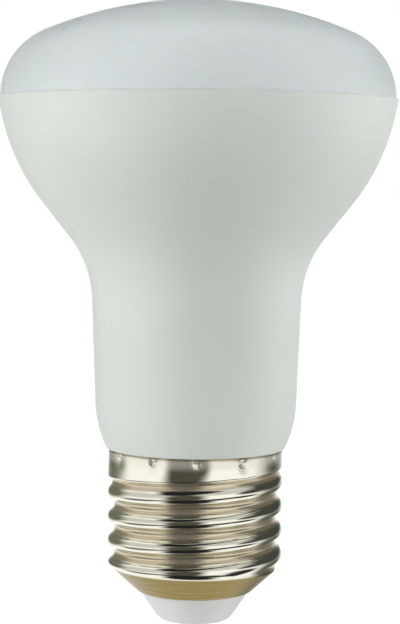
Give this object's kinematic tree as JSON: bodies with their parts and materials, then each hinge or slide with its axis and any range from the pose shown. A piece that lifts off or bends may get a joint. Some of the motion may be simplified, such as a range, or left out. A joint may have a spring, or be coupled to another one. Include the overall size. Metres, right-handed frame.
{
  "type": "reflector bulb",
  "caption": "Reflector bulb with an opal diffuser dome, a flared white housing, a screw cap with a rounded thread and crimped skirt, and a white insulator.",
  "frame": {"origin": "tip of the centre contact, on the bulb's axis", "axes": "+Z along the bulb's axis from the cap towards the diffuser; -Y towards the viewer of the picture, +X to their right"},
  "size_m": [0.0594, 0.0594, 0.0929],
  "materials": {
    "opal_plastic": "satin opal diffuser",
    "housing_white": "satin white with a faint green cast",
    "nickel_plated": "bright nickel plating on brass sheet",
    "insulator_white": "satin white",
    "contact_metal": "tinned, slightly dull"
  },
  "bodies": {
    "root": {"diffuser": "opal_plastic", "housing": "housing_white", "screw_shell": "nickel_plated", "insulator": "insulator_white", "centre_contact": "contact_metal"}
  },
  "joints": []
}
